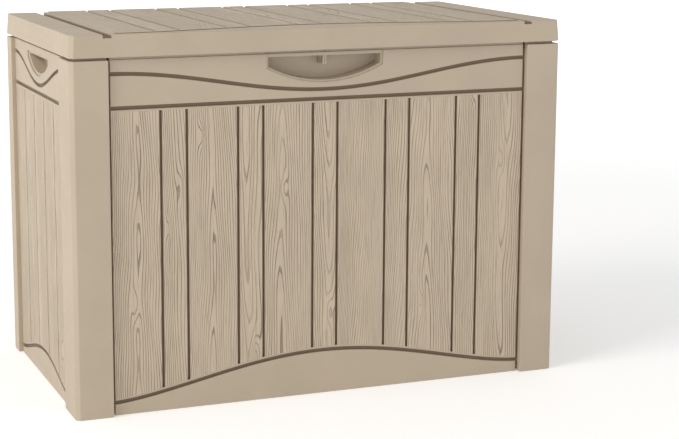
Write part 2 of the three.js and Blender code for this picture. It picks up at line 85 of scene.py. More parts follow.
# ---- Sizes of the moulded details ----
PANEL_HALF = 253.5
FACE_RECESS = 6
END_RECESS = 5
WALL = 4.5
FRONT_POST_SIDE = 53
REAR_POST_SIDE = 28
END_MIDDLE = (FRONT_POST_SIDE - REAR_POST_SIDE) / 2
END_HALF = HALF_DEPTH - (FRONT_POST_SIDE + REAR_POST_SIDE) / 2
BAND_Z = 349
NARROW = 30.25
WIDE = 60.4
LID_DRAFT = 1.7
CORNER_CUT = 4.5
LIP_OUT = 7.4
LIP_SIDE = 6.5
LIP_WALL = 3
REAR_CHAMFER = 4
FACE_Y = HALF_DEPTH - FACE_RECESS
BRIDGE = 4.3
CHANNEL_X = 257
FIELD_HALF = 246
BORDER_DROP = 0.9
HINGE_X = 170
RIB_Z = (417.4, 428)
RIB_Y = (-133, 0, 110)
RIB_X = (-225, -110, 110, 225)
RIB_HALF = 1.25
TONGUE_X = (246, 268.3)
TONGUE_Z = (2, 398)
TONGUE_SET_BACK = 9.3
TONGUE_WALL = 3
LIP_ROOT = POST_TOP - 4
TAB_Y = (-157, -140)
TAB_Z = (388, 401.9)
TAB_HOLE = (-151.2, 394.8)
TAB_HOLE_RADIUS = 3.5
LID_FIN_X = (-2.3, -0.2)
BOX_FIN_X = (0.15, 2.25)
BOX_FLANGE_Y = (-131, -128.5)
BOX_TAB_SCREWS = (-6, 8)
LID_TAB_SCREWS = (-9, 9)
ARM_SCREWS = (128, 146)
BRACKET_SCREWS = (-20, 20)
UNDER_LID = (420.2, 422.7)
POCKET_FRONT = 147
POCKET_BACK = FACE_Y - 0.6
POCKET_HALF = 35
NOTCH_HALF = 32
NOTCH_FRONT = 151
HINGE_AXIS = (161, 399.7)
KNUCKLE_RADIUS = 5
ARM_HALF = 9.7
HEAD_RADIUS = 3.6
# Half the width, top, shoulder and lowest height of the hand hold and of the finger recess.
HOLD_HALF, HOLD_TOP, HOLD_SHOULDER, HOLD_LOW = 54, 394, 386, 367.5
RECESS_HALF, RECESS_SHOULDER, RECESS_LOW = 72, 386, 367.5
# Rings of the hand hold as (inset, depth), and of the finger recess as (inset, depth, top), from the shell
# behind the wall, over the rim and down to the pocket's floor.
HOLD_RINGS = [(1.0, 21), (-0.4, 4.4), (-1.0, 0.4), (-0.9, -0.02), (-0.2, 0.0), (0.15, 0.35), (0.3, 1.6),
              (0.7, 2.0), (3.2, 2.0), (3.7, 2.2), (3.9, 2.8), (4.1, 15.5), (5.0, 17.6), (6.5, 18)]
RECESS_RINGS = [(inset, depth, LID_BOTTOM) for inset, depth in ((1.0, 23), (-0.4, 4.4), (-0.4, 2.1))]
RECESS_RINGS += [(inset, depth, POST_TOP) for inset, depth in (
    (-1.0, 1.9), (-1.0, 0.4), (-0.9, -0.02), (-0.2, 0.0), (0.15, 0.35), (0.3, 1.6), (0.7, 2.0), (2.6, 2.0),
    (3.0, 2.2), (3.2, 2.8), (3.4, 17.5), (4.2, 19.6), (5.6, 20))]

# Cross-sections as (distance from the middle, depth) from one shoulder to the other.
HALF_GROOVE = [(3.0, 0.0), (2.5, 0.08), (2.2, 0.4), (2.05, 1.0), (1.9, 2.7), (1.5, 3.1), (0.8, 3.2)]
HALF_SLIT = [(2.2, 0.0), (1.85, 0.06), (1.6, 0.35), (1.5, 0.9), (1.35, 3.0), (0.9, 3.5)]
EDGE = [(0.0, 0.6), (0.1, 0.32), (0.32, 0.1), (0.7, 0.0)]


def mirrored(half):
    """A symmetric cross-section from its outer half, with its deepest point in the middle."""
    left = [(-offset, depth) for offset, depth in half]
    right = [(offset, depth) for offset, depth in reversed(half)]
    return left + [(0.0, half[-1][1])] + right


GROOVE = mirrored(HALF_GROOVE)
SLIT = mirrored(HALF_SLIT)


def swell(distance, half):
    """Half a cosine wave: 1 in the middle of a panel, 0 at its ends."""
    return (1 + np.cos(np.pi * np.minimum(np.abs(distance), half) / half)) / 2


def front_upper_wave(x):
    return 387 - 27 * swell(x, PANEL_HALF)


def front_lower_wave(x):
    return 15 + 37 * swell(x, PANEL_HALF) ** 0.75


def end_upper_wave(y):
    return 387 - 29.5 * swell(y - END_MIDDLE, END_HALF)


def end_lower_wave(y):
    return 10 + 24.5 * swell(y - END_MIDDLE, END_HALF) ** 0.75


def plank_seams():
    """Where the front planks meet: wide and narrow planks in turn, out from the narrow middle one."""
    right = [NARROW / 2]
    for width in (WIDE, NARROW, WIDE, NARROW):
        right.append(right[-1] + width)
    return sorted([-x for x in right] + right)


# ---- Meshes ----
def add_object(name, vertices, faces):
    """A mesh object from points in millimetres."""
    mesh = bpy.data.meshes.new(name)
    mesh.from_pydata([tuple(v) for v in np.asarray(vertices, float) * MM], [], [list(f) for f in faces])
    obj = bpy.data.objects.new(name, mesh)
    bpy.context.scene.collection.objects.link(obj)
    return obj


def face_outward(obj):
    """Turns every face of a closed mesh outward."""
    mesh = bmesh.new()
    mesh.from_mesh(obj.data)
    bmesh.ops.recalc_face_normals(mesh, faces=mesh.faces)
    mesh.to_mesh(obj.data)
    mesh.free()


AXES = {"x": (1, 2, 0), "y": (0, 2, 1), "z": (0, 1, 2)}


def place_on(axis, a, b, along):
    """Puts an outline's (a, b) and its place along an axis in x, y, z order."""
    point = [0.0, 0.0, 0.0]
    first, second, third = AXES[axis]
    point[first], point[second], point[third] = a, b, along
    return point


def prism(name, axis, outline, low, high):
    """An outline swept along an axis: (y, z) along x, (x, z) along y, (x, y) along z."""
    count = len(outline)
    vertices = [place_on(axis, a, b, low) for a, b in outline]
    vertices += [place_on(axis, a, b, high) for a, b in outline]
    faces = [list(range(count)), list(range(count, 2 * count))]
    for i in range(count):
        j = (i + 1) % count
        faces.append([i, j, count + j, count + i])
    obj = add_object(name, vertices, faces)
    face_outward(obj)
    return obj


def block(name, x, y, z):
    """A block from three (low, high) pairs."""
    return prism(name, "z", [(x[0], y[0]), (x[1], y[0]), (x[1], y[1]), (x[0], y[1])], z[0], z[1])


def loft(name, rings, close_start=True, close_end=True):
    """A skin through rings with the same number of points each."""
    count = len(rings[0])
    faces = []
    for r in range(len(rings) - 1):
        for i in range(count):
            j = (i + 1) % count
            faces.append([r * count + i, r * count + j, (r + 1) * count + j, (r + 1) * count + i])
    if close_start:
        faces.append(list(range(count)))
    if close_end:
        faces.append(list(range((len(rings) - 1) * count, len(rings) * count)))
    obj = add_object(name, [point for ring in rings for point in ring], faces)
    face_outward(obj)
    return obj


def apply_modifiers(obj):
    graph = bpy.context.evaluated_depsgraph_get()
    mesh = bpy.data.meshes.new_from_object(obj.evaluated_get(graph))
    obj.modifiers.clear()
    obj.data = mesh


def carve(obj, cutter):
    """Cuts the cutter out of obj."""
    modifier = obj.modifiers.new("carve", "BOOLEAN")
    modifier.operation = "DIFFERENCE"
    modifier.solver = "EXACT"
    modifier.object = cutter
    apply_modifiers(obj)
    bpy.data.objects.remove(cutter)
    return obj


def soften(obj, width, segments=3):
    """Rounds the edges and keeps the flat faces flat."""
    for polygon in obj.data.polygons:
        polygon.use_smooth = True
    modifier = obj.modifiers.new("soften", "BEVEL")
    modifier.width = width * MM
    modifier.segments = segments
    modifier.limit_method = "ANGLE"
    modifier.angle_limit = math.radians(35)
    modifier.harden_normals = True
    return obj


def smooth(obj):
    """Smooth shading that keeps large flat faces flat and corners crisp."""
    obj.data.set_sharp_from_angle(angle=math.radians(38))
    modifier = obj.modifiers.new("normals", "WEIGHTED_NORMAL")
    modifier.weight = 100
    modifier.keep_sharp = True
    return obj


def settle(obj, body, material, slot, *nodes):
    """Gives a piece its material and its body, and hides the CAD nodes that it stands for."""
    obj.data.materials.clear()
    obj.data.materials.append(material)
    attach(obj, body)
    if nodes:
        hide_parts(*nodes)
    return obj


def join_objects(target, others):
    """Joins the evaluated meshes of others to target, as separate closed shells."""
    for obj in [target] + list(others):
        apply_modifiers(obj)
    together = {"active_object": target, "selected_editable_objects": [target] + list(others)}
    with bpy.context.temp_override(**together):
        bpy.ops.object.join()
    normals = target.data.attributes.get("custom_normal")
    if normals:
        target.data.attributes.remove(normals)
    return smooth(target)


def weld(obj):
    """Joins points that lie in one place and turns the faces outward."""
    mesh = bmesh.new()
    mesh.from_mesh(obj.data)
    bmesh.ops.remove_doubles(mesh, verts=mesh.verts, dist=1e-6)
    bmesh.ops.recalc_face_normals(mesh, faces=mesh.faces)
    mesh.to_mesh(obj.data)
    mesh.free()


# ---- Relief sheets ----
def spread(start, end, step):
    """Evenly spaced places strictly between start and end."""
    count = max(int(round(abs(end - start) / step)), 1)
    return [start + (end - start) * i / count for i in range(1, count)]


def column_plan(low, high, seams, section, step):
    """Places across a panel and the depth that its vertical slits give there."""
    places = [(low + offset, depth) for offset, depth in EDGE]
    last = places[-1][0]
    for seam in seams:
        first = seam + section[0][0]
        places += [(u, 0.0) for u in spread(last, first, step)]
        places += [(seam + offset, depth) for offset, depth in section]
        last = seam + section[-1][0]
    places += [(u, 0.0) for u in spread(last, high - EDGE[-1][0], step)]
    places += [(high - offset, depth) for offset, depth in reversed(EDGE)]
    return np.array(places)


class Rows:
    """Rows of a relief sheet, from one side to the other. Each has its place for every column and a depth."""

    def __init__(self, columns):
        self.columns = columns
        self.places = []
        self.depths = []
        self.tags = []

    def line(self, place, depth, tag):
        self.places.append(np.broadcast_to(place, self.columns.shape).astype(float))
        self.depths.append(depth)
        self.tags.append(tag)

    def edge(self, place, inward, tag):
        """The rounded outer edge of the sheet; inward is the direction of its inside."""
        steps = EDGE if inward > 0 else list(reversed(EDGE))
        for offset, depth in steps:
            self.line(place + inward * offset, depth, tag)

    def fill(self, end, step, tag):
        """Rows from the last one to the curve end, which isn't included."""
        start = self.places[-1]
        count = max(int(round(np.max(np.abs(end - start)) / step)), 2)
        for i in range(1, count):
            self.line(start + (end - start) * i / count, 0.0, tag)

    def groove(self, curve, section, tags):
        below, above = tags
        for offset, depth in section:
            self.line(curve + offset, depth, below if offset < 0 else above)


def grain(across, along, seed):
    """The grain lines of one plank as a smooth phase: a line lies wherever it is a whole number."""
    draw = random.Random(seed)
    half = max(np.max(np.abs(across)), 1.0)
    heart = draw.choice([draw.uniform(-0.3, 0.3), draw.uniform(0.7, 1.3), draw.uniform(-1.3, -0.7)]) * half
    pitch = draw.uniform(2.3, 3.2)
    rise = draw.choice([-1, 1]) * draw.uniform(60, 120)
    bend = draw.uniform(1.2, 2.6) * np.sin(along / draw.uniform(55, 90) + draw.uniform(0, 6.3))
    distance = np.sqrt((across - heart - bend) ** 2 + draw.uniform(2.0, 5.0) ** 2)
    phase = distance / pitch + along / rise
    phase += draw.uniform(0.3, 0.8) * np.sin(across / draw.uniform(4, 8) + draw.uniform(0, 6.3))
    phase += 0.35 * np.sin(along / draw.uniform(17, 30) + across / 7 + draw.uniform(0, 6.3))
    for _ in range(draw.choice([0, 1, 1, 2])):
        side = draw.uniform(-0.5, 0.5) * half
        height = draw.uniform(np.min(along) + 25, np.max(along) - 25)
        size = draw.uniform(3.0, 5.0)
        knot = np.exp(-((across - side) / size) ** 2 - ((along - height) / (size * 4.5)) ** 2)
        phase += draw.uniform(1.6, 2.8) * knot
    return phase


def sheet(name, u, v, depth, painted_shade, planks, seams, seed, place, back, tuck=1.0):
    """A closed moulded sheet from a grid. place(u, v, depth) gives x, y, z arrays.

    back is the depth of its rear face at each column, and tuck scales the rear face in from the front one.
    """
    count, width = depth.shape
    grid_u = np.repeat(u[None, :], count, axis=0)
    phase = np.zeros_like(depth)
    limits = [u[0]] + list(seams) + [u[-1]]
    for index in range(len(limits) - 1):
        inside = (u >= limits[index]) & (u <= limits[index + 1])
        middle = (limits[index] + limits[index + 1]) / 2
        phase[:, inside] = grain(grid_u[:, inside] - middle, v[:, inside], seed + index)
    front = np.stack(place(grid_u, v, depth), axis=-1).reshape(-1, 3)
    corners = np.arange(count * width).reshape(count, width)
    quads = np.stack([corners[:-1, :-1], corners[:-1, 1:], corners[1:, 1:], corners[1:, :-1]], axis=-1)
    faces = [list(map(int, quad)) for quad in quads.reshape(-1, 4)]
    loop = [(0, i) for i in range(width)] + [(j, width - 1) for j in range(1, count)]
    loop += [(count - 1, i) for i in range(width - 2, -1, -1)] + [(j, 0) for j in range(count - 2, 0, -1)]
    flat_u = np.array([grid_u[j, i] for j, i in loop]) * tuck
    flat_v = np.array([v[j, i] for j, i in loop]) * tuck
    flat_depth = np.array([np.broadcast_to(back, (width,))[i] for j, i in loop], float)
    rear = np.stack(place(flat_u, flat_v, flat_depth), axis=-1)
    base = len(front)
    size = len(loop)
    for k in range(size):
        n = (k + 1) % size
        faces.append([int(corners[loop[k]]), int(corners[loop[n]]), base + n, base + k])
    number = {place_in_grid: base + k for k, place_in_grid in enumerate(loop)}
    left_side = [number[(j, 0)] for j in range(count)]
    right_side = [number[(j, width - 1)] for j in range(count)]
    faces.append(left_side + [number[(count - 1, 1)], number[(0, 1)]])
    faces.append(right_side + [number[(count - 1, width - 2)], number[(0, width - 2)]])
    for i in range(1, width - 2):
        faces.append([number[(0, i)], number[(0, i + 1)], number[(count - 1, i + 1)], number[(count - 1, i)]])
    obj = add_object(name, np.vstack([front, rear]), faces)
    # Besides the grain and the planks, each point stores how much painted shade darkens it; the rear face
    # gets none.
    for key, values in (("grain", phase), ("planks", planks), ("painted_shade", painted_shade)):
        layer = obj.data.attributes.new(key, "FLOAT", "POINT")
        with_rear = np.concatenate([values.reshape(-1), np.zeros(size)])
        layer.data.foreach_set("value", with_rear.astype(np.float32))
    face_outward(obj)
    return obj


def wall_sheet(name, columns, rows, seams, seed, place):
    """A sheet whose depth comes from its rows and, in its planked rows and at its sides, from its columns."""
    u = columns[:, 0]
    v = np.array(rows.places)
    planked = np.array(rows.tags) == "planks"
    side = (u < u[len(EDGE) - 1] + 1e-6) | (u > u[-len(EDGE)] - 1e-6)
    slits = np.where(planked[:, None] | side[None, :], columns[None, :, 1], 0.0)
    depth = np.maximum(np.array(rows.depths)[:, None], slits)
    planks = np.where(planked[:, None] & (depth < 0.02), 1.0, 0.0)
    # Painted shade goes by depth in the grooves and slits, but not at the sides by the posts or on the
    # rounded top and bottom edges.
    painted_shade = np.where(side[None, :] & (np.array(rows.depths)[:, None] < 1.0), 0.0, depth)
    painted_shade[:len(EDGE)] = 0.0
    painted_shade[-len(EDGE):] = 0.0
    return sheet(name, u, v, depth, painted_shade, planks, seams, seed, place, WALL)


def planked_rows(rows, lower_wave, band_z):
    """From below the lower wave to above the straight groove: band, groove, planks, groove."""
    rows.fill(lower_wave + GROOVE[0][0], 8, "band")
    rows.groove(lower_wave, GROOVE, ("band", "band"))
    rows.line(lower_wave + BRIDGE, 0.0, "band")
    rows.line(lower_wave + BRIDGE + 0.25, 0.0, "planks")
    rows.fill(band_z - BRIDGE - 0.25, 3.0, "planks")
    rows.line(band_z - BRIDGE - 0.25, 0.0, "planks")
    rows.line(band_z - BRIDGE, 0.0, "band")
    rows.groove(band_z, GROOVE, ("band", "band"))


# ---- Materials ----
def nodes_of(name):
    """A new material with its node tree and its shader."""
    material = bpy.data.materials.new(name)
    material.use_nodes = True
    tree = material.node_tree
    return material, tree, tree.nodes["Principled BSDF"]


def maths(tree, operation, first, second=None):
    """A Math node; each input is a socket or a number."""
    node = tree.nodes.new("ShaderNodeMath")
    node.operation = operation
    for index, value in enumerate((first, second)):
        if isinstance(value, (int, float)):
            node.inputs[index].default_value = value
        elif value is not None:
            tree.links.new(value, node.inputs[index])
    return node.outputs[0]


def tint(tree, factor, first, second):
    """From the colour first to the colour second, by factor. Each is a socket or an RGBA tuple."""
    node = tree.nodes.new("ShaderNodeMix")
    node.data_type = "RGBA"
    tree.links.new(factor, node.inputs["Factor"])
    for key, value in (("A", first), ("B", second)):
        socket = [s for s in node.inputs if s.name == key and s.type == "RGBA"][0]
        if isinstance(value, tuple):
            socket.default_value = value
        else:
            tree.links.new(value, socket)
    return [s for s in node.outputs if s.type == "RGBA"][0]


def noise(tree, scale, stretch=(1, 1, 1), detail=3.0):
    """Noise in object space, from 0 to 1; a small stretch along an axis draws it out along that axis."""
    where = tree.nodes.new("ShaderNodeTexCoord")
    mapping = tree.nodes.new("ShaderNodeMapping")
    mapping.inputs["Scale"].default_value = stretch
    tree.links.new(where.outputs["Object"], mapping.inputs["Vector"])
    node = tree.nodes.new("ShaderNodeTexNoise")
    node.inputs["Scale"].default_value = scale
    node.inputs["Detail"].default_value = detail
    tree.links.new(mapping.outputs["Vector"], node.inputs["Vector"])
    return node.outputs["Fac"]


def ramp(tree, value, low, high, to_low=0.0, to_high=1.0):
    """A smooth step from to_low, where value is low, to to_high, where it is high."""
    node = tree.nodes.new("ShaderNodeMapRange")
    node.interpolation_type = "SMOOTHSTEP"
    for key, number in (("From Min", low), ("From Max", high), ("To Min", to_low), ("To Max", to_high)):
        node.inputs[key].default_value = number
    tree.links.new(value, node.inputs["Value"])
    return node.outputs["Result"]


def attribute(tree, name):
    node = tree.nodes.new("ShaderNodeAttribute")
    node.attribute_name = name
    return node.outputs["Fac"]


def shade(colour, amount):
    """A colour made lighter or darker, with an alpha of 1."""
    return tuple(min(c * amount, 1.0) for c in colour) + (1.0,)


def bump(tree, shader, height, distance):
    """Raises the shader's surface by height (0 to 1) times a distance in metres."""
    node = tree.nodes.new("ShaderNodeBump")
    node.inputs["Strength"].default_value = 1.0
    node.inputs["Distance"].default_value = distance
    tree.links.new(height, node.inputs["Height"])
    tree.links.new(node.outputs["Normal"], shader.inputs["Normal"])


def resin(name, colour, along=(1, 1, 0.06)):
    """Matt moulded resin, with wood grain pressed in where a mesh has the planks attribute and painted shade
    in its grooves.

    along is the stretch of the noise that follows the grain.
    """
    material, tree, shader = nodes_of(name)
    planks = attribute(tree, "planks")
    waver = maths(tree, "MULTIPLY", maths(tree, "SUBTRACT", noise(tree, 70, along), 0.5), 0.9)
    phase = maths(tree, "ADD", attribute(tree, "grain"), waver)
    wave = maths(tree, "COSINE", maths(tree, "MULTIPLY", phase, 2 * math.pi))
    line = ramp(tree, wave, 0.80, 0.99)
    strength = ramp(tree, noise(tree, 45, along), 0.34, 0.60, 0.3, 1.0)
    lines = maths(tree, "MULTIPLY", maths(tree, "MULTIPLY", line, strength), planks)
    hair = maths(tree, "MULTIPLY", ramp(tree, noise(tree, 420, along), 0.48, 0.75), planks)
    mottle = ramp(tree, noise(tree, 14, detail=4.0), 0.3, 0.7)
    plain = tint(tree, mottle, shade(colour, 0.97), shade(colour, 1.03))
    skin = tint(tree, planks, plain, tint(tree, mottle, shade(colour, 1.12), shade(colour, 1.18)))
    dark = (colour[0] * 0.47, colour[1] * 0.42, colour[2] * 0.36, 1.0)
    skin = tint(tree, maths(tree, "MULTIPLY", lines, 0.78), skin, dark)
    skin = tint(tree, maths(tree, "MULTIPLY", hair, 0.12), skin, dark)
    # Painted shade: the deeper a point lies in a groove, slit or channel, the darker its colour.
    painted_shade = ramp(tree, attribute(tree, "painted_shade"), 0.1, 2.6, 0.0, 0.85)
    painted_shade_colour = (colour[0] * 0.33, colour[1] * 0.26, colour[2] * 0.19, 1.0)
    skin = tint(tree, painted_shade, skin, painted_shade_colour)
    tree.links.new(skin, shader.inputs["Base Color"])
    rough = ramp(tree, noise(tree, 120), 0.3, 0.7, 0.5, 0.62)
    tree.links.new(maths(tree, "ADD", rough, maths(tree, "MULTIPLY", lines, 0.1)), shader.inputs["Roughness"])
    shader.inputs["Specular IOR Level"].default_value = 0.35
    height = maths(tree, "SUBTRACT", maths(tree, "MULTIPLY", noise(tree, 900, detail=2.0), 0.08), lines)
    height = maths(tree, "SUBTRACT", height, maths(tree, "MULTIPLY", hair, 0.35))
    bump(tree, shader, height, 0.0015)
    return material


def zinc_steel():
    """Zinc-plated steel with faint spangle and fine scratches."""
    material, tree, shader = nodes_of("zinc_steel")
    spangle = ramp(tree, noise(tree, 260, detail=1.0), 0.35, 0.65)
    skin = tint(tree, spangle, (0.50, 0.51, 0.52, 1.0), (0.62, 0.62, 0.61, 1.0))
    tree.links.new(skin, shader.inputs["Base Color"])
    shader.inputs["Metallic"].default_value = 1.0
    tree.links.new(ramp(tree, noise(tree, 380), 0.3, 0.7, 0.28, 0.44), shader.inputs["Roughness"])
    bump(tree, shader, noise(tree, 1500, (1, 1, 0.1)), 0.00004)
    return material


TAN = (0.470, 0.390, 0.294)
shell = resin("resin_shell", TAN)
lid_resin = resin("resin_lid", TAN, along=(1, 0.06, 1))
inner = resin("resin_inner", shade(TAN, 0.94)[:3])
steel = zinc_steel()


# ---- Shapes that panels share ----
def half_moon(middle, half, top, shoulder, low, steps=28):
    """A straight top, short upright sides and an arc below."""
    sag = shoulder - low
    radius = (half * half + sag * sag) / (2 * sag)
    reach = math.asin(half / radius)
    points = [(middle - half, top), (middle + half, top)]
    for i in range(steps + 1):
        angle = reach - 2 * reach * i / steps
        points.append((middle + radius * math.sin(angle), low + radius * (1 - math.cos(angle))))
    return points


def cup(name, axis, rings):
    """A lofted pocket. Each ring is (half-moon, place along the axis)."""
    return loft(name, [[place_on(axis, a, b, along) for a, b in outline] for outline, along in rings])


def post_plan(side_width, outer_wall):
    """Plan of a corner post, as (distance from the side face, distance from the front or rear face).

    It has a slot for the long wall's tongue, and its front or rear wall is outer_wall thick.
    """
    rear = 12.6
    return [
        (END_RECESS, side_width), (0, side_width), (0, CORNER_CUT), (CORNER_CUT, 0), (POST_FACE, 0),
        (POST_FACE, 9), (31, 9), (31, rear), (POST_FACE - 3.5, rear), (POST_FACE - 3.5, rear + 3),
        (28, rear + 3), (28, outer_wall), (4, outer_wall), (4, side_width - 4),
        (END_RECESS + WALL, side_width - 4), (END_RECESS + WALL, side_width),
    ]


def end_post(name, side, facing, side_width):
    """One corner post with its cap."""
    def at(u, e):
        return side * (HALF_LENGTH - u), facing * (HALF_DEPTH - e)
    outer_wall, near = (4, 2) if facing < 0 else (REAR_CHAMFER + 2.2, REAR_CHAMFER + 0.3)
    body = prism(name, "z", [at(u, e) for u, e in post_plan(side_width, outer_wall)], 0, POST_TOP - 0.01)
    cap_plan = [(2, near + CORNER_CUT), (2 + CORNER_CUT, near), (POST_FACE - 2, near), (POST_FACE - 2, 14),
                (8, 14), (8, side_width - 2), (2, side_width - 2)]
    cap = prism(name + "_cap", "z", [at(u, e) for u, e in cap_plan], LIP_ROOT, POST_TOP - 0.02)
    if facing > 0:
        size = REAR_CHAMFER
        wedge_outline = [(HALF_DEPTH - size, POST_TOP), (HALF_DEPTH + 1, POST_TOP + 1),
                         (HALF_DEPTH + 1, POST_TOP - size - 1)]
        low, high = sorted((side * (HALF_LENGTH + 1), side * 200))
        carve(body, prism("wedge", "x", wedge_outline, low, high))
    body = soften(body, 0.7)
    cap = soften(cap, 0.3, 1)
    return join_objects(body, [cap])


def end_panel(side, word):
    """An end wall with its hand hold, its two corner posts and its share of the lip."""
    low, high = END_MIDDLE - END_HALF, END_MIDDLE + END_HALF
    plank = (high - low) / 5
    seams = [low + plank * i for i in range(1, 5)]
    columns = column_plan(low, high, seams, SLIT, 2.6)
    y = columns[:, 0]
    rows = Rows(y)
    rows.edge(0, 1, "band")
    planked_rows(rows, end_lower_wave(y), np.full_like(y, BAND_Z - 1))
    rows.fill(end_upper_wave(y) + GROOVE[0][0], 5, "band")
    rows.groove(end_upper_wave(y), GROOVE, ("band", "band"))
    rows.fill(np.full_like(y, POST_TOP - EDGE[-1][0]), 5, "band")
    rows.edge(POST_TOP, -1, "band")
    face = HALF_LENGTH - END_RECESS

    def place(u, v, depth):
        return side * (face - depth), u, v
    wall = wall_sheet(f"{word}_end", columns, rows, seams, 40 + side, place)
    span = sorted((side * (face + 3), side * (face - WALL - 3)))
    hole = half_moon(END_MIDDLE, HOLD_HALF - 0.4, HOLD_TOP - 0.3, HOLD_SHOULDER + 0.2, HOLD_LOW + 0.4)
    carve(wall, prism("hole", "x", hole, *span))
    rings = []
    for inset, depth in HOLD_RINGS:
        outline = half_moon(END_MIDDLE, HOLD_HALF - inset, HOLD_TOP - inset * 0.8,
                            HOLD_SHOULDER + 0.5 * inset, HOLD_LOW + inset)
        rings.append((outline, side * (face - depth)))
    hold = smooth(cup(f"{word}_hold", "x", rings))
    posts = [end_post(f"{word}_front_post", side, -1, FRONT_POST_SIDE)]
    posts.append(end_post(f"{word}_rear_post", side, 1, REAR_POST_SIDE))
    lip_y = HALF_DEPTH - LIP_OUT
    lip_inside = LIP_SIDE + LIP_WALL + 0.1
    plan = [(POST_FACE, -lip_y), (LIP_SIDE, -lip_y), (LIP_SIDE, lip_y), (POST_FACE, lip_y),
            (POST_FACE, lip_y - LIP_WALL), (lip_inside, lip_y - LIP_WALL),
            (lip_inside, LIP_WALL - lip_y), (POST_FACE, LIP_WALL - lip_y)]
    lip = prism(f"{word}_lip", "z", [(side * (HALF_LENGTH - u), v) for u, v in plan], LIP_ROOT, LIP_TOP)
    wall = join_objects(smooth(wall), [hold, soften(lip, 0.6)] + posts)
    settle(wall, "box_body", shell, "resin_shell", f"{word}_end_panel")


def long_wall(name, facing, upper_wave, seed):
    """The planked sheet of the front or back panel."""
    seams = plank_seams()
    columns = column_plan(-PANEL_HALF, PANEL_HALF, seams, SLIT, 2.6)
    x = columns[:, 0]
    rows = Rows(x)
    rows.edge(0, 1, "band")
    planked_rows(rows, front_lower_wave(x), np.full_like(x, BAND_Z))
    if upper_wave:
        rows.fill(front_upper_wave(x) + GROOVE[0][0], 5, "band")
        rows.groove(front_upper_wave(x), GROOVE, ("band", "band"))
    rows.fill(np.full_like(x, POST_TOP - EDGE[-1][0]), 5, "band")
    rows.edge(POST_TOP, -1, "band")

    def place(u, v, depth):
        return u, facing * (FACE_Y - depth), v
    return wall_sheet(name, columns, rows, seams, seed, place)


def lip_and_tongues(name, facing):
    """The lip that the lid closes over, and the tongues held in the slots of the posts."""
    outer, tongue = HALF_DEPTH - LIP_OUT, HALF_DEPTH - TONGUE_SET_BACK
    # The lip runs on past the wall's ends, to meet the lips of the end panels.
    half = PANEL_HALF + 0.45
    lip = block(name + "_lip", (-half, half), sorted((facing * outer, facing * (outer - LIP_WALL))),
                (LIP_ROOT, LIP_TOP))
    pieces = [soften(lip, 0.6)]
    for side in (-1, 1):
        x = sorted(side * place for place in TONGUE_X)
        y = sorted((facing * tongue, facing * (tongue - TONGUE_WALL)))
        piece = block(name + "_tongue", x, y, TONGUE_Z)
        # Painted shade: the tongues are darkened all over, so that the slots between posts and walls look
        # deep and dark.
        layer = piece.data.attributes.new("painted_shade", "FLOAT", "POINT")
        layer.data.foreach_set("value", [4.0] * len(piece.data.vertices))
        pieces.append(piece)
    return pieces


def front_panel():
    """The front wall with its lip and tongues, and the finger cup with the bosses for the fixed lock tab."""
    wall = long_wall("front_wall", -1, True, 10)
    hole = half_moon(0, RECESS_HALF - 0.4, POST_TOP + 2, RECESS_SHOULDER, RECESS_LOW + 0.4)
    carve(wall, prism("hole", "y", hole, -FACE_Y - 3, -FACE_Y + WALL + 3))
    rings = []
    for inset, depth, top in RECESS_RINGS:
        outline = half_moon(0, RECESS_HALF - inset, top, RECESS_SHOULDER + 0.59 * inset, RECESS_LOW + inset)
        rings.append((outline, -FACE_Y + depth))
    pocket = smooth(cup("finger_pocket", "y", rings))
    lip, *tongues = lip_and_tongues("front", -1)
    apply_modifiers(lip)
    carve(lip, block("tab_way", (-2.9, 0), (-162, -130), (POST_TOP - 0.2, LIP_TOP + 1)))
    bosses = [soften(cylinder("tab_boss", "y", (x, 395), 4, -138, -131.3), 0.4, 2)
              for x in BOX_TAB_SCREWS]
    settle(join_objects(pocket, bosses), "box_body", shell, "resin_shell", "finger_cup")
    panel = join_objects(smooth(wall), [lip] + tongues)
    settle(panel, "box_body", shell, "resin_shell", "front_panel")


def back_panel():
    """The rear wall with its lip and tongues, and a pocket for each hinge."""
    wall = long_wall("back_wall", 1, False, 60)
    lip, *others = lip_and_tongues("back", 1)
    apply_modifiers(lip)
    for side in (-1, 1):
        x = side * HINGE_X
        notch = (x - NOTCH_HALF, x + NOTCH_HALF), (NOTCH_FRONT, FACE_Y + 2), (380, LIP_TOP + 2)
        carve(wall, block("notch", *notch))
        carve(lip, block("notch", *notch))
        plan = [(x - POCKET_HALF, POCKET_BACK), (x - POCKET_HALF, POCKET_FRONT),
                (x + POCKET_HALF, POCKET_FRONT), (x + POCKET_HALF, POCKET_BACK),
                (x + NOTCH_HALF, POCKET_BACK), (x + NOTCH_HALF, NOTCH_FRONT),
                (x - NOTCH_HALF, NOTCH_FRONT), (x - NOTCH_HALF, POCKET_BACK)]
        others.append(soften(prism("hinge_pocket", "z", plan, 377, POST_TOP), 0.4, 2))
        # The upper part is a hair smaller, so that no faces of the two lie in one plane.
        nearest, farthest = POCKET_FRONT + 0.05, HALF_DEPTH - LIP_OUT
        plan = [(x + (px - x) * 0.9985, min(max(py, nearest), farthest)) for px, py in plan]
        others.append(soften(prism("hinge_pocket_top", "z", plan, POST_TOP - 1, LIP_TOP), 0.4, 2))
        across = (x - POCKET_HALF + 0.1, x + POCKET_HALF - 0.1)
        inward = (POCKET_FRONT + 0.1, POCKET_BACK - 0.1)
        others.append(block("pocket_floor", across, inward, (377.1, 380)))
        for offset in BRACKET_SCREWS:
            others.append(soften(cylinder("screw_boss", "y", (x + offset, 388), 5, 141, 148), 0.4, 2))
    panel = join_objects(smooth(wall), [lip] + others)
    settle(panel, "box_body", shell, "resin_shell", "back_panel")


def cylinder(name, axis, centre, radius, low, high, sides=32):
    turn = [2 * math.pi * i / sides for i in range(sides)]
    outline = [(centre[0] + radius * math.cos(a), centre[1] + radius * math.sin(a)) for a in turn]
    return prism(name, axis, outline, low, high)


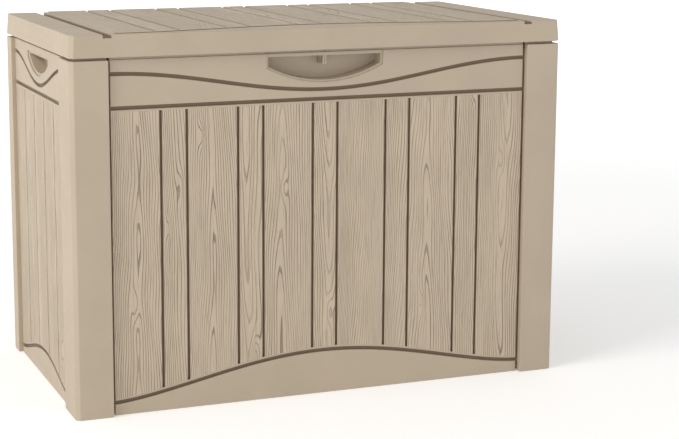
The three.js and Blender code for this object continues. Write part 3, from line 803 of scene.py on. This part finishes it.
# ---- Lid ----
def lid_outline(inset, corner=None):
    """Plan of the lid at a distance in from its widest outline, with its corners cut."""
    x, y = HALF_LENGTH - inset, HALF_DEPTH - inset
    cut = CORNER_CUT if corner is None else corner
    return [(-x, -y + cut), (-x + cut, -y), (x - cut, -y), (x, -y + cut),
            (x, y - cut), (x - cut, y), (-x + cut, y), (-x, y - cut)]


def lid_top():
    """The top of the lid: a border, two cross channels and a raised planked field with an arched front."""
    edge_x, edge_y = HALF_LENGTH - LID_DRAFT, HALF_DEPTH - LID_DRAFT
    channel = mirrored([(6.1, 0.0), (5.45, 0.12), (5.1, 0.6), (4.8, 4.3), (4.4, 4.85), (3.4, 5.0)])
    field_step = [(FIELD_HALF + 0.2, 0.0), (FIELD_HALF + 0.1, 0.2), (FIELD_HALF, 0.8),
                  (FIELD_HALF - 0.5, 1.0)]
    inner_part = column_plan(-FIELD_HALF + 0.4, FIELD_HALF - 0.4, plank_seams(), SLIT, 2.6)[4:-4]
    rows_of_column = []
    for side in (-1, 1):
        outer = [(side * (edge_x - offset), depth, 0.0, 0.0) for offset, depth in EDGE]
        flat = [(side * x, 0.0, 0.0, 0.0) for x in spread(edge_x - 1, CHANNEL_X + 6.1, 6)]
        groove = [(side * CHANNEL_X + offset, depth, 0.0, 0.0) for offset, depth in channel]
        step = [(side * x, 0.0, depth, 0.0) for x, depth in field_step]
        rows_of_column += outer + flat + groove + step
    rows_of_column += [(x, 0.0, 1.0, depth) for x, depth in inner_part]
    table = np.array(sorted(rows_of_column))
    u, border, field, slit = table.T
    arch = -HALF_DEPTH + 8 + 35 * swell(u, FIELD_HALF)
    rows = Rows(u)
    rows.edge(-edge_y, 1, "border")
    rows.fill(arch, 5, "border")
    steps = [(0.0, 0.0), (0.08, 0.2), (0.16, 0.8), (0.5, 0.97), (0.9, 1.0)]
    for offset, depth in steps:
        rows.line(arch + offset, depth, "border")
    rows.line(arch + BRIDGE, 1.0, "border")
    rows.line(arch + BRIDGE + 0.3, 1.0, "planks")
    rows.fill(np.full_like(u, edge_y - 1), 3, "planks")
    for offset, depth in reversed(EDGE):
        rows.line(edge_y - offset, 1.0, "planks")
    levels = np.array(rows.depths)
    levels[:len(EDGE)] = 0.0
    rounding = np.zeros(len(levels))
    rounding[:len(EDGE)] = [depth for _, depth in EDGE]
    rounding[-len(EDGE):] = [depth for _, depth in reversed(EDGE)]
    planked = (np.array(rows.tags) == "planks")[:, None]
    raised = np.minimum(field[None, :], levels[:, None])
    slits = np.where(planked, slit[None, :], 0.0)
    depth = np.maximum(BORDER_DROP * (1 - raised) + border[None, :], slits) + rounding[:, None]
    # Painted shade: a dark line along the field's raised step, and darkening by depth in the slits and cross
    # channels.
    step_shade = np.where((raised > 0.05) & (raised < 0.95), 2.6, 0.0)
    channels = np.where(np.abs(u) < CHANNEL_X + 8, border, 0.0)
    painted_shade = np.maximum(np.maximum(step_shade, slits), channels[None, :])
    planks = np.where(planked & (slits < 0.02) & (field[None, :] > 0.99), 1.0, 0.0)
    back = np.where(np.abs(np.abs(u) - CHANNEL_X) < 8, 8.0, 4.0)

    def place(a, b, d):
        return a, b, LID_TOP - d
    places = np.array(rows.places)
    return sheet("lid_top", u, places, depth, painted_shade, planks, plank_seams(), 90, place, back, 0.997)


def lid_shell():
    """The lid's top, its skirt, and the ribs and screw bosses under it."""
    top = lid_top()
    corner_x, corner_y = HALF_LENGTH - LID_DRAFT, HALF_DEPTH - LID_DRAFT
    for sx in (-1, 1):
        for sy in (-1, 1):
            plan = [(sx * (corner_x - CORNER_CUT), sy * (corner_y + 0.5)),
                    (sx * (corner_x + 2), sy * (corner_y + 2)),
                    (sx * (corner_x + 0.5), sy * (corner_y - CORNER_CUT))]
            carve(top, prism("corner", "z", plan, LID_TOP - 12, LID_TOP + 2))
    height = LID_TOP - LID_BOTTOM
    profile = []
    section = [(LID_TOP - BORDER_DROP - EDGE[0][1], 0.0), (LID_BOTTOM + 0.8, 0.0), (LID_BOTTOM + 0.25, 0.2),
               (LID_BOTTOM, 0.7), (LID_BOTTOM, 2.4), (LID_BOTTOM + 0.4, 3.0), (LID_TOP - 4.5, 3.0)]
    for z, inset in section:
        draft = LID_DRAFT * (z - LID_BOTTOM) / height
        profile.append((z, inset + draft, CORNER_CUT if inset < 2 else 3.0))
    rings = [[(x, y, z) for x, y in lid_outline(inset, corner)] for z, inset, corner in profile]
    skirt = loft("lid_skirt", rings + [rings[0]], False, False)
    weld(skirt)
    for side in (-1, 1):
        x = side * CHANNEL_X
        through = (-HALF_DEPTH - 2, HALF_DEPTH + 2)
        carve(skirt, block("channel", (x - 5, x + 5), through, (LID_TOP - 5, LID_TOP + 1)))
    ribs = []
    for y in RIB_Y:
        rib = block("rib", (-HALF_LENGTH + 6, HALF_LENGTH - 6), (y - RIB_HALF, y + RIB_HALF), RIB_Z)
        for x in (-CHANNEL_X, CHANNEL_X):
            carve(rib, block("under_channel", (x - 7, x + 7), (y - 3, y + 3), (424.5, 430)))
        ribs.append(rib)
    for x in RIB_X:
        ribs.append(block("rib", (x - RIB_HALF, x + RIB_HALF), (-163, 163), RIB_Z))
    for x, y in lid_screw_places():
        ribs.append(cylinder("boss", "z", (x, y), 4, 423, 428))
    whole = join_objects(smooth(top), [smooth(skirt)] + [soften(rib, 0.4, 2) for rib in ribs])
    settle(whole, "lid", lid_resin, "resin_shell", "lid_shell")


def lid_screw_places():
    """Where the arm screws and the lock tab screws go into the lid."""
    places = [(side * HINGE_X, y) for side in (-1, 1) for y in ARM_SCREWS]
    return places + [(x, -146.5) for x in LID_TAB_SCREWS]


def lock_tabs():
    """The two tabs that a padlock joins: one on the lid, and one through the wall of the finger pocket."""
    lid_tab_y = (TAB_Y[0], TAB_Y[1] - 0.5)
    lid_fin = block("lid_tab", LID_FIN_X, lid_tab_y, (TAB_Z[0], UNDER_LID[0] + 0.8))
    carve(lid_fin, cylinder("tab_hole", "x", TAB_HOLE, TAB_HOLE_RADIUS, -5, 5))
    lid_flange = block("lid_tab_flange", (-14, 14), lid_tab_y, UNDER_LID)
    on_lid = join_objects(soften(lid_fin, 0.35, 2), [soften(lid_flange, 0.35, 2)])
    settle(on_lid, "lid", shell, "resin_shell", "lid_lock_tab")
    box_fin = block("box_tab", BOX_FIN_X, (TAB_Y[0], BOX_FLANGE_Y[0] + 1), TAB_Z)
    carve(box_fin, cylinder("tab_hole", "x", TAB_HOLE, TAB_HOLE_RADIUS, -5, 5))
    box_flange = block("box_tab_flange", (-11, 13), BOX_FLANGE_Y, TAB_Z)
    on_box = join_objects(soften(box_fin, 0.35, 2), [soften(box_flange, 0.35, 2)])
    settle(on_box, "box_body", shell, "resin_shell", "box_lock_tab")


# ---- Hinges and screws ----
def lathe(name, axis, centre, profile, sides=32):
    """A turned piece: profile is (radius, place along the axis) from one end to the other."""
    first, second = centre
    turn = [2 * math.pi * i / sides for i in range(sides)]
    rings = []
    for radius, along in profile:
        rings.append([place_on(axis, first + radius * math.cos(a), second + radius * math.sin(a), along)
                      for a in turn])
    return loft(name, rings)


def screw(node, axis, head_up, body):
    """A pan-head screw with a cross recess, in the place of its CAD node.

    head_up is +1 or -1: the way that its head faces along its axis.
    """
    low, high = cad_box(node)
    third = AXES[axis][2]
    centre = [(low[i] + high[i]) / 2 for i in AXES[axis][:2]]
    crown = (high if head_up > 0 else low)[third]
    far = (low if head_up > 0 else high)[third]
    below_crown = [(1.7, 1.9), (3.5, 1.85), (HEAD_RADIUS, 1.5), (3.3, 0.7), (2.4, 0.18), (1.0, 0.0)]
    profile = [(1.2, far), (1.7, far + head_up * 1.2)]
    profile += [(radius, crown - head_up * drop) for radius, drop in below_crown]
    piece = lathe(node + "_piece", axis, centre, profile)
    for length, width in ((1.9, 0.42), (0.42, 1.9)):
        outline = [(centre[0] - length, centre[1] - width), (centre[0] + length, centre[1] - width),
                   (centre[0] + length, centre[1] + width), (centre[0] - length, centre[1] + width)]
        carve(piece, prism("recess", axis, outline, *sorted((crown - head_up * 1.2, crown + head_up))))
    settle(smooth(piece), body, steel, "zinc_steel", node)


def hinge(word, side):
    """A bracket on the back panel, an arm under the lid and the pin between them."""
    x = side * HINGE_X
    bracket = soften(block("bracket", (x - 28, x + 28), (151.3, 153.8), (383, 403.7)), 0.5, 2)
    parts = []
    for hand in (-1, 1):
        span = sorted((x + hand * 10.3, x + hand * 25))
        parts.append(soften(cylinder("knuckle", "x", HINGE_AXIS, KNUCKLE_RADIUS, *span), 0.4, 2))
        parts.append(soften(block("web", span, (152.3, 160), (395.7, 402.7)), 0.4, 2))
    settle(join_objects(bracket, parts), "box_body", inner, "resin_inner", f"{word}_hinge_bracket")
    arm_x = (x - ARM_HALF, x + ARM_HALF)
    arm = soften(cylinder("arm_knuckle", "x", HINGE_AXIS, KNUCKLE_RADIUS, *arm_x), 0.4, 2)
    parts = [soften(block("arm_leaf", arm_x, (157.5, 160.5), (HINGE_AXIS[1], UNDER_LID[1])), 0.4, 2)]
    parts.append(soften(block("arm_plate", arm_x, (120, 160.5), UNDER_LID), 0.4, 2))
    settle(join_objects(arm, parts), "lid", inner, "resin_inner", f"{word}_hinge_arm")
    head = x + side * 25.3
    profile = [(1.4, x - side * 26), (2.0, x - side * 25.4), (2.0, head)]
    profile += [(radius, head + side * out) for radius, out in ((3.1, 0), (3.2, 0.3), (2.9, 1.0), (1.6, 1.5))]
    pin = smooth(lathe("hinge_pin", "x", HINGE_AXIS, profile))
    settle(pin, "box_body", steel, "zinc_steel", f"{word}_hinge_pin")


# ---- Build ----
front_panel()
back_panel()
for direction, word in ((-1, "left"), (1, "right")):
    end_panel(direction, word)
lid_shell()
lock_tabs()
for direction, word in ((-1, "left"), (1, "right")):
    hinge(word, direction)
for number in (1, 2):
    screw(f"box_tab_screw_{number}", "y", 1, "box_body")
    screw(f"lock_tab_screw_{number}", "z", -1, "lid")
    for word in ("left", "right"):
        screw(f"{word}_bracket_screw_{number}", "y", 1, "box_body")
        screw(f"{word}_arm_screw_{number}", "z", -1, "lid")
floor_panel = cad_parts["floor_panel"]
floor_panel.data.materials.clear()
floor_panel.data.materials.append(inner)


# ---- Studio ----
SKY_TOP = 0.60
FLOOR_GLOW = 0.27
FAR_GLOW = 0.70
KEY_COLOUR = (1.0, 0.965, 0.91)
KEY_SIZE = 1.8
KEY_POWER = 69
KEY_PLACE = (-3.1, -0.9, 2.5)
KEY_TARGET = (0, 0, 0.2)
LENS = 90.47
SHIFT = (0.0918, -0.0613)
CAMERA_PLACE = (-0.7296, -1.9558, 0.5991)
CAMERA_AZIMUTH = 20.476
CAMERA_TILT = 10.021


def studio_floor():
    """A white floor that glows more with distance, so that it fades into the backdrop."""
    mesh = bmesh.new()
    bmesh.ops.create_grid(mesh, x_segments=1, y_segments=1, size=12)
    data = bpy.data.meshes.new("studio_floor")
    mesh.to_mesh(data)
    mesh.free()
    floor = bpy.data.objects.new("studio_floor", data)
    bpy.context.scene.collection.objects.link(floor)
    material, tree, shader = nodes_of("studio_white")
    shader.inputs["Base Color"].default_value = (0.90, 0.90, 0.90, 1.0)
    shader.inputs["Roughness"].default_value = 0.9
    shader.inputs["Specular IOR Level"].default_value = 0.1
    shader.inputs["Emission Color"].default_value = (1.0, 1.0, 1.0, 1.0)
    where = tree.nodes.new("ShaderNodeTexCoord")
    length = tree.nodes.new("ShaderNodeVectorMath")
    length.operation = "LENGTH"
    tree.links.new(where.outputs["Object"], length.inputs[0])
    glow = ramp(tree, length.outputs["Value"], 0.9, 4.0, FLOOR_GLOW, FAR_GLOW)
    tree.links.new(glow, shader.inputs["Emission Strength"])
    data.materials.append(material)


def key_light():
    """A large soft light, high up on the left, that looks at the middle of the box."""
    data = bpy.data.lights.new("key", "AREA")
    data.size = KEY_SIZE
    data.energy = KEY_POWER
    data.color = KEY_COLOUR
    lamp = bpy.data.objects.new("key", data)
    lamp.location = KEY_PLACE
    lamp.rotation_euler = (Vector(KEY_TARGET) - Vector(KEY_PLACE)).to_track_quat("-Z", "Y").to_euler()
    bpy.context.scene.collection.objects.link(lamp)


def camera():
    data = bpy.data.cameras.new("camera")
    data.sensor_width = 36
    data.lens = LENS
    data.shift_x, data.shift_y = SHIFT
    data.clip_end = 100
    seen = bpy.data.objects.new("camera", data)
    seen.location = CAMERA_PLACE
    azimuth, tilt = math.radians(CAMERA_AZIMUTH), math.radians(CAMERA_TILT)
    level = math.cos(tilt)
    forward = Vector((math.sin(azimuth) * level, math.cos(azimuth) * level, -math.sin(tilt)))
    seen.rotation_euler = forward.to_track_quat("-Z", "Y").to_euler()
    bpy.context.scene.collection.objects.link(seen)
    bpy.context.scene.camera = seen


def sky():
    """White near the horizon, like a studio backdrop, and dimmer overhead."""
    world = bpy.data.worlds.new("studio")
    world.use_nodes = True
    tree = world.node_tree
    where = tree.nodes.new("ShaderNodeTexCoord")
    split = tree.nodes.new("ShaderNodeSeparateXYZ")
    tree.links.new(where.outputs["Generated"], split.inputs["Vector"])
    background = tree.nodes["Background"]
    background.inputs["Color"].default_value = (1, 1, 1, 1)
    tree.links.new(ramp(tree, split.outputs["Z"], 0.1, 0.45, 1.0, SKY_TOP), background.inputs["Strength"])
    bpy.context.scene.world = world


studio_floor()
key_light()
sky()
camera()
bpy.context.scene.view_settings.view_transform = "Standard"
